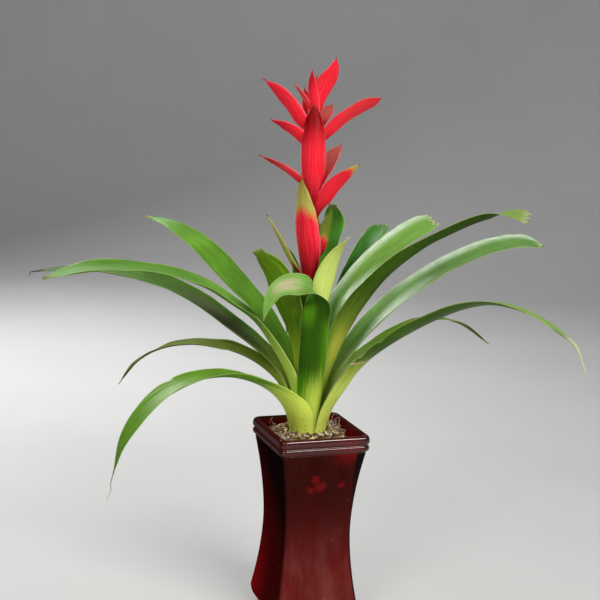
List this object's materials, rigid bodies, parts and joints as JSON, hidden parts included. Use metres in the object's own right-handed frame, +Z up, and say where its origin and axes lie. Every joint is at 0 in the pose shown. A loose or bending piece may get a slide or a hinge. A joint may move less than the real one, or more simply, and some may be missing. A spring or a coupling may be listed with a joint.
{
  "type": "potted bromeliad",
  "caption": "Strap-leaved rosette plant with a tall spike of red bracts, growing in potting mix in a waisted square glass vase that stands on a table.",
  "frame": {"origin": "middle of the vase's flat base, on the surface that it stands on", "axes": "+Z up along the vase; the vase's flat sides face -X, +X, -Y and +Y"},
  "size_m": [0.433, 0.415, 0.4744],
  "materials": {
    "ruby_glass": "polished dark ruby glass, thick and nearly opaque",
    "potting_mix": "matt, moist bark and peat with pale chips",
    "crown": "satin, pale green plant base",
    "leaf": "satin green leaf, finely lined along its length",
    "bract": "satin red bract, green to olive at the older tips"
  },
  "bodies": {
    "root": {"vase": "ruby_glass", "potting_mix": "potting_mix", "crown": "crown", "leaf_low_left": "leaf", "leaf_low_right": "leaf", "leaf_low_back": "leaf", "leaf_thin_left": "leaf", "leaf_short_right": "leaf", "leaf_folded_front": "leaf", "leaf_long_left_lower": "leaf", "leaf_long_right_lower": "leaf", "leaf_back": "leaf", "leaf_long_left_upper": "leaf", "leaf_long_right_upper": "leaf", "leaf_back_right": "leaf", "leaf_high_left": "leaf", "leaf_inner_left": "leaf", "leaf_high_right": "leaf", "leaf_inner_front_right": "leaf", "leaf_inner_back_left": "leaf", "leaf_inner_back_right": "leaf", "flower_spike": "bract"}
  },
  "joints": []
}
